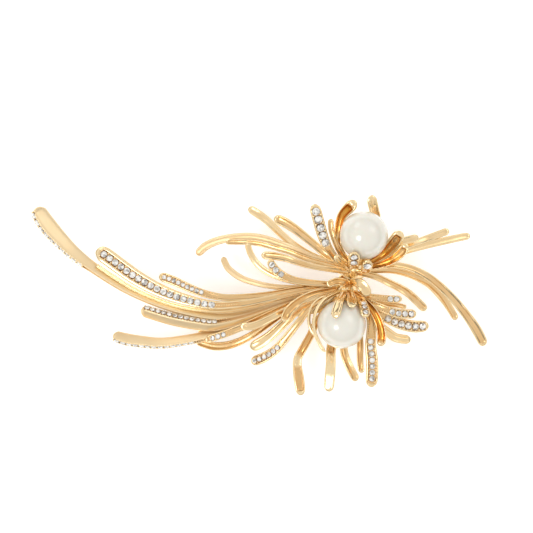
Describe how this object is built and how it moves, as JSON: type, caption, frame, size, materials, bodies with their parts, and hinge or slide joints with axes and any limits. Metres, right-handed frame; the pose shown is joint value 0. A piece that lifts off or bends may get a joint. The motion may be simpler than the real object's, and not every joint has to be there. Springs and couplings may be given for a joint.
{
  "type": "decorative hair clip",
  "caption": "Sweeping spray of two spidery metal flowers with pearls at their hearts and rows of round stones, carried on a small spring clip.",
  "frame": {"origin": "middle of the flat outer face of the clip's swinging arm", "axes": "+Z out of the face of the ornament, +X along the spray from its long tail towards the flowers, +Y towards the upper flower"},
  "size_m": [0.1152, 0.0501, 0.0226],
  "materials": {
    "gold_metal": "pale gold plate, satin to bright",
    "clip_steel": null,
    "pearl": "creamy imitation pearl, soft lustre",
    "stones": "clear faceted stones"
  },
  "bodies": {
    "ornament": {"clip_base": "clip_steel", "clip_pin": "clip_steel", "clip_bow_spring": "clip_steel", "clip_catch": "clip_steel", "back_plate": "gold_metal", "upper_heart": "gold_metal", "lower_heart": "gold_metal", "upper_pearl": "pearl", "lower_pearl": "pearl", "tail_longest": "gold_metal", "tail_thin": "gold_metal", "tail_main_pave": "gold_metal", "tail_short_pave": "gold_metal", "tail_mid_pave": "gold_metal", "tail_lower_pave": "gold_metal", "tail_lower_plain": "gold_metal", "tail_small_pave": "gold_metal", "tail_inner_plain": "gold_metal", "tail_broad": "gold_metal", "spur_pave": "gold_metal", "curl_inner": "gold_metal", "spray_top": "gold_metal", "spray_second": "gold_metal", "spray_long": "gold_metal", "spray_thin": "gold_metal", "spray_low": "gold_metal", "curl_double": "gold_metal", "spray_pave": "gold_metal", "hook": "gold_metal", "crown_pave": "gold_metal", "crown_inner": "gold_metal", "crown_claw": "gold_metal", "crown_back": "gold_metal", "right_claw": "gold_metal", "right_short": "gold_metal", "right_pale": "gold_metal", "right_upper": "gold_metal", "right_long": "gold_metal", "right_outer": "gold_metal", "right_middle": "gold_metal", "right_inner": "gold_metal", "side_first": "gold_metal", "side_thin": "gold_metal", "side_second": "gold_metal", "side_pave": "gold_metal", "side_third": "gold_metal", "claw_right": "gold_metal", "foot_pave": "gold_metal", "claw_left": "gold_metal", "foot_left": "gold_metal", "foot_middle": "gold_metal", "foot_right": "gold_metal", "foot_band": "gold_metal", "upper_buds": "gold_metal", "lower_buds": "gold_metal", "heart_tips": "gold_metal", "tail_stones": "stones", "lower_stones": "stones", "upper_stones": "stones"},
    "arm": {"clip_arm": "clip_steel"}
  },
  "joints": [
    {"name": "arm_hinge", "type": "hinge", "parent": "ornament", "child": "arm", "pos_m": [-0.01826, -0.00322, 0.00146], "axis": [-0.1736, 0.9848, 0], "range_deg": [0, 70]}
  ]
}
